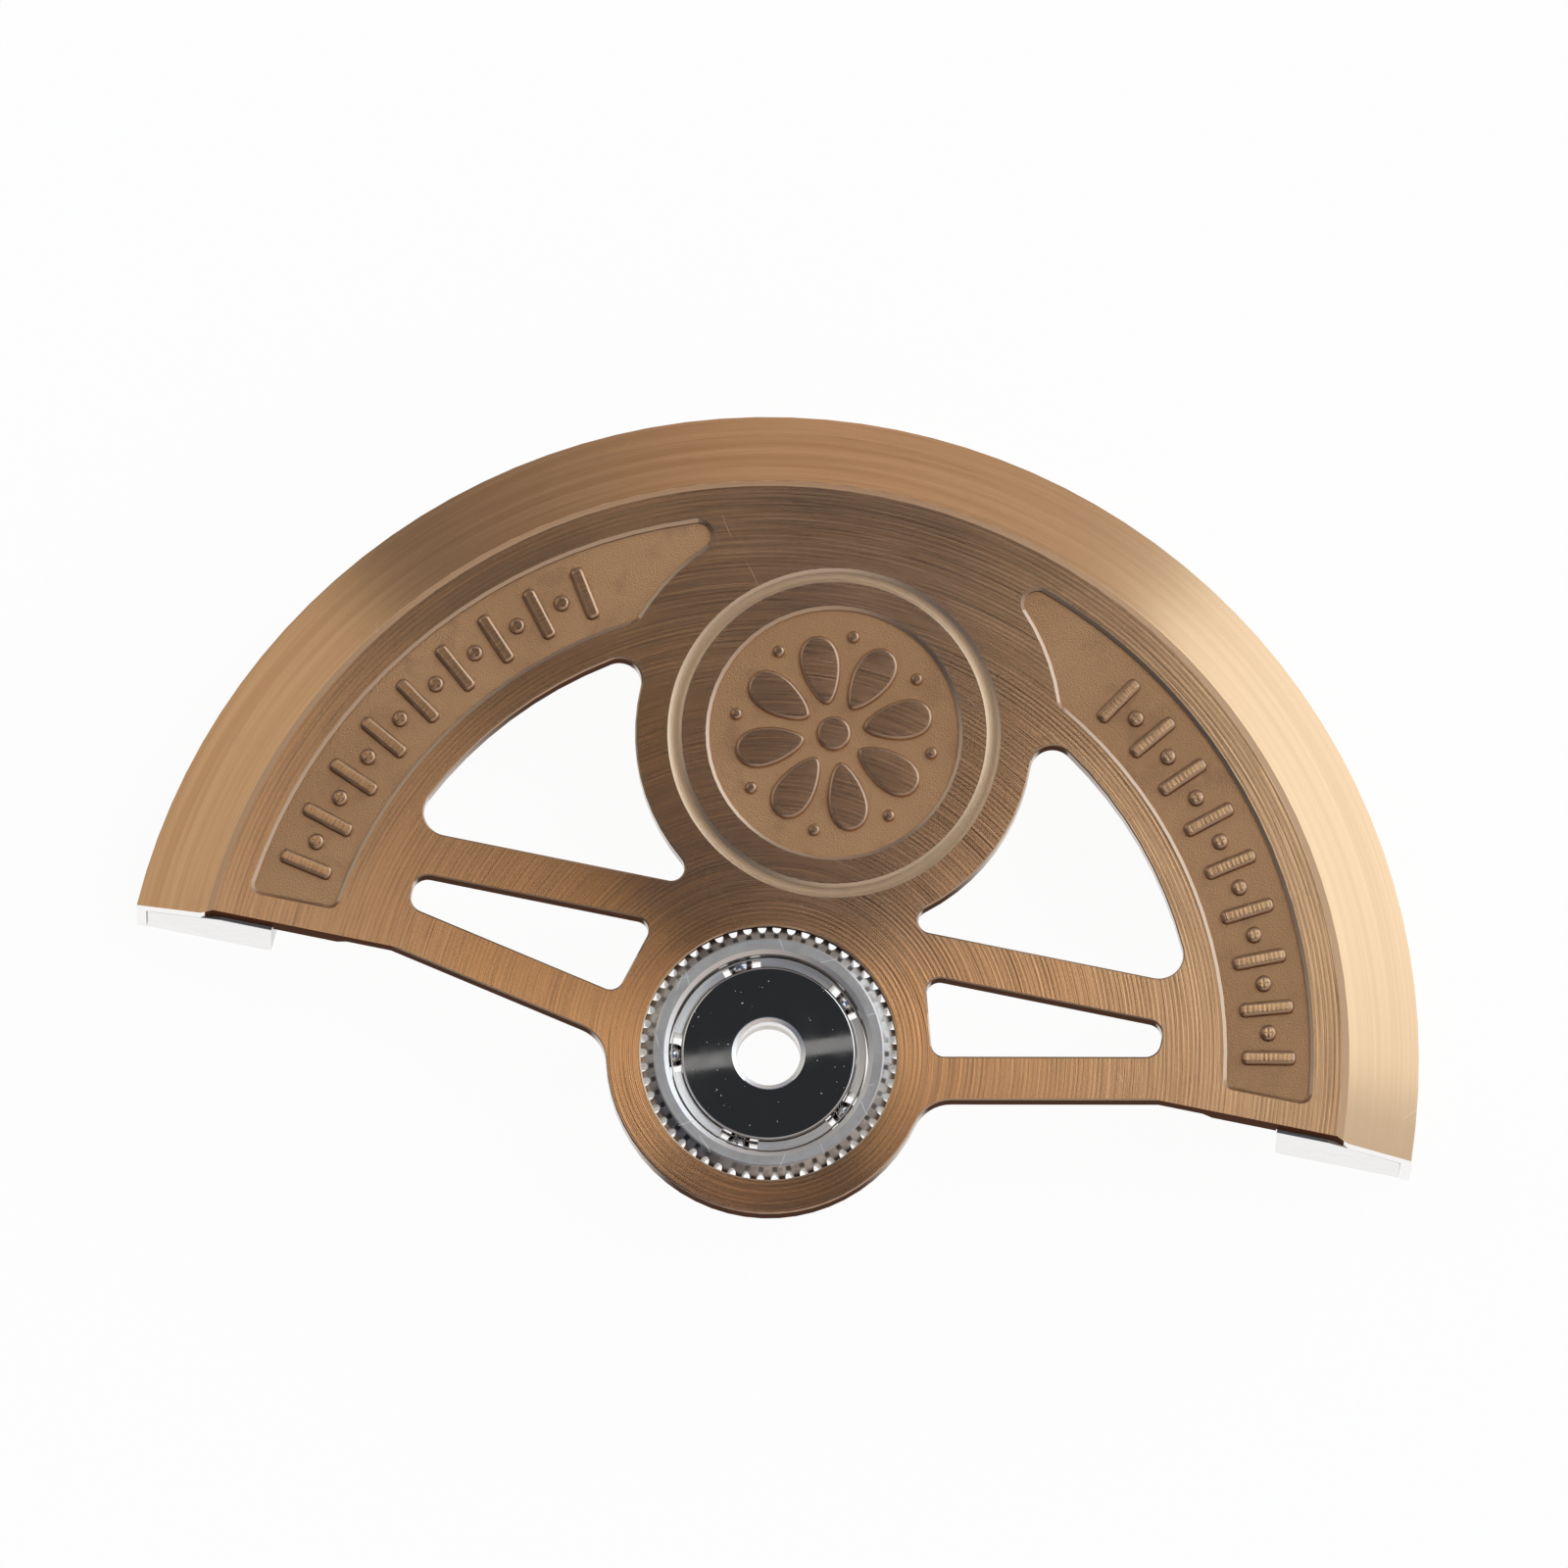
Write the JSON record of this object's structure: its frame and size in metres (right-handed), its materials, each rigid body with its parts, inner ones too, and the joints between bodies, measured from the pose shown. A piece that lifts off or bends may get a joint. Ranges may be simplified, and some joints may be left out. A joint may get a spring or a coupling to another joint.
{
  "type": "automatic watch rotor",
  "caption": "Half-round winding rotor with a heavy rim, pierced struts and sunk fields, on a toothed ball bearing with cage and balls open to view.",
  "frame": {"origin": "on the bearing's axis, at the seat face under the inner race", "axes": "+Z along the bearing's axis, up to the engraved face; +Y from the bearing to the middle of the rim, in the plane of symmetry; +X along the straight edge"},
  "size_m": [0.0264, 0.0165, 0.0037],
  "materials": {
    "gilt_plate": "bronze-coloured plating over turned and fine-blasted brass",
    "segment_alloy": "bare ground tungsten alloy",
    "race_steel": "hardened steel, ground",
    "polished_steel": "hardened steel, mirror polished",
    "cage_steel": "stamped steel, bright",
    "ball_steel": "hardened steel, lapped"
  },
  "bodies": {
    "inner_race": {"inner_race_upper": "polished_steel", "inner_race_lower": "race_steel"},
    "rotor": {"rotor_plate": "gilt_plate", "heavy_segment": "segment_alloy", "outer_race_gear": "race_steel"},
    "cage": {"ball_cage": "cage_steel"},
    "ball_a": {"ball_1": "ball_steel"},
    "ball_b": {"ball_2": "ball_steel"},
    "ball_c": {"ball_3": "ball_steel"},
    "ball_d": {"ball_4": "ball_steel"},
    "ball_e": {"ball_5": "ball_steel"}
  },
  "joints": [
    {"name": "rotor_spin", "type": "hinge", "parent": "inner_race", "child": "rotor", "pos_m": [0, 0, 0.00055], "axis": [0, 0, 1], "continuous": true},
    {"name": "cage_spin", "type": "hinge", "parent": "inner_race", "child": "cage", "pos_m": [0, 0, 0.00055], "axis": [0, 0, 1], "continuous": true},
    {"name": "ball_a_roll", "type": "hinge", "parent": "cage", "child": "ball_a", "pos_m": [-0.00092, 0.00171, 0.00055], "axis": [0, 0, 1], "continuous": true},
    {"name": "ball_b_roll", "type": "hinge", "parent": "cage", "child": "ball_b", "pos_m": [-0.00191, -0.00035, 0.00055], "axis": [0, 0, 1], "continuous": true},
    {"name": "ball_c_roll", "type": "hinge", "parent": "cage", "child": "ball_c", "pos_m": [-0.00026, -0.00192, 0.00055], "axis": [0, 0, 1], "continuous": true},
    {"name": "ball_d_roll", "type": "hinge", "parent": "cage", "child": "ball_d", "pos_m": [0.00175, -0.00084, 0.00055], "axis": [0, 0, 1], "continuous": true},
    {"name": "ball_e_roll", "type": "hinge", "parent": "cage", "child": "ball_e", "pos_m": [0.00134, 0.0014, 0.00055], "axis": [0, 0, 1], "continuous": true}
  ],
  "couplings": [
    {"joint": "cage_spin", "follows": "rotor_spin", "ratio": 0.56443},
    {"joint": "ball_a_roll", "follows": "rotor_spin", "ratio": 3.8156},
    {"joint": "ball_b_roll", "follows": "rotor_spin", "ratio": 3.8156},
    {"joint": "ball_c_roll", "follows": "rotor_spin", "ratio": 3.8156},
    {"joint": "ball_d_roll", "follows": "rotor_spin", "ratio": 3.8156},
    {"joint": "ball_e_roll", "follows": "rotor_spin", "ratio": 3.8156}
  ]
}
